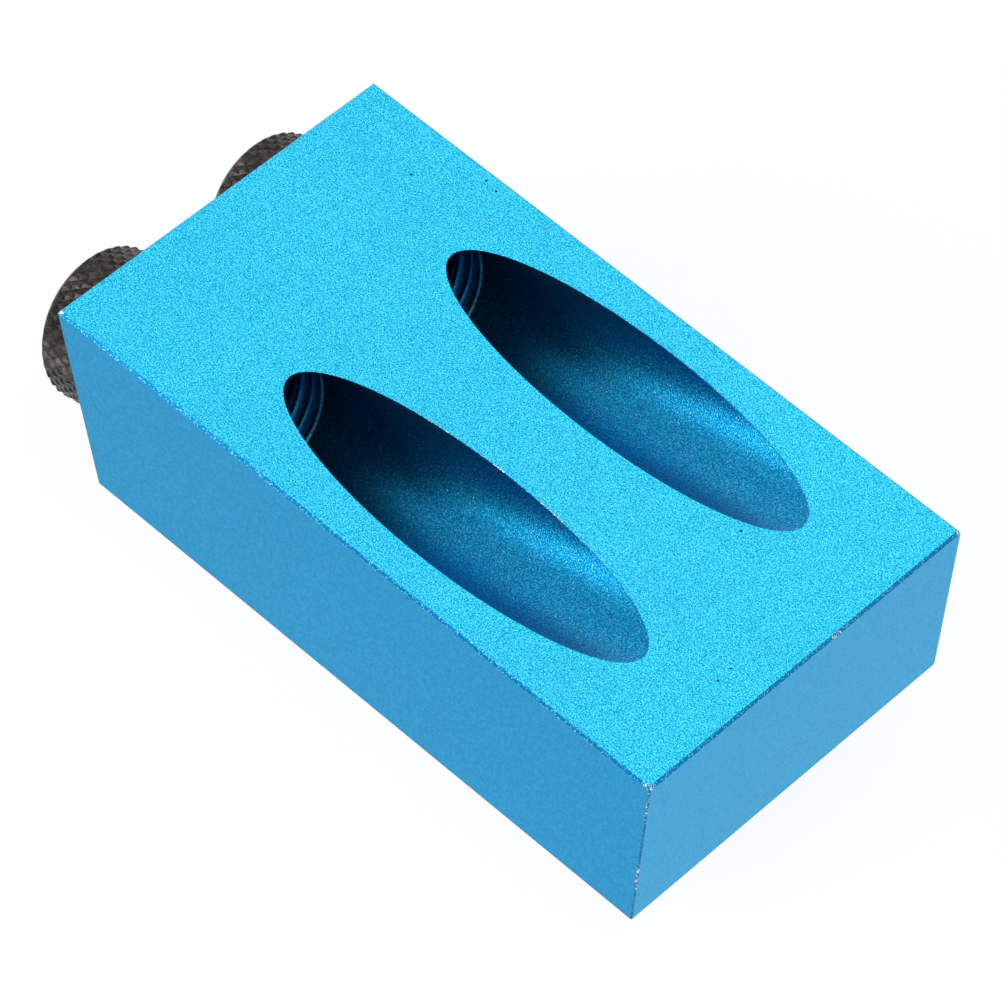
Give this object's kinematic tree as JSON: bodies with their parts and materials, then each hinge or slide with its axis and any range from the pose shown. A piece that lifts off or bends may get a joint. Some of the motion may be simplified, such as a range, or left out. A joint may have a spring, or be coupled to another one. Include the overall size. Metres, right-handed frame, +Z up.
{
  "type": "angle drilling guide",
  "caption": "Blue anodised block with slanted passages that open in long oval mouths, and knurled screw-in drill bushes, for drilling angled screw holes in wood.",
  "frame": {"origin": "centre of the block's flat base face", "axes": "+X from the bushes to the plain front end face, +Z up to the work face with the mouths"},
  "size_m": [0.0684, 0.035, 0.0176],
  "materials": {
    "blue_anodising": "blue anodised over fine bead blasting, satin",
    "black_oxide_steel": "black oxide, satin, brownish where the knurl is rubbed"
  },
  "bodies": {
    "block": {"guide_block": "blue_anodising"},
    "right_bush": {"right_drill_bush": "black_oxide_steel"},
    "left_bush": {"left_drill_bush": "black_oxide_steel"}
  },
  "joints": [
    {"name": "right_bush_unscrew", "type": "slide", "parent": "block", "child": "right_bush", "axis": [-0.9598, 0, -0.2807], "range_m": [0, 0.012]},
    {"name": "left_bush_unscrew", "type": "slide", "parent": "block", "child": "left_bush", "axis": [-0.9598, 0, -0.2807], "range_m": [-0.0006, 0.012]}
  ]
}
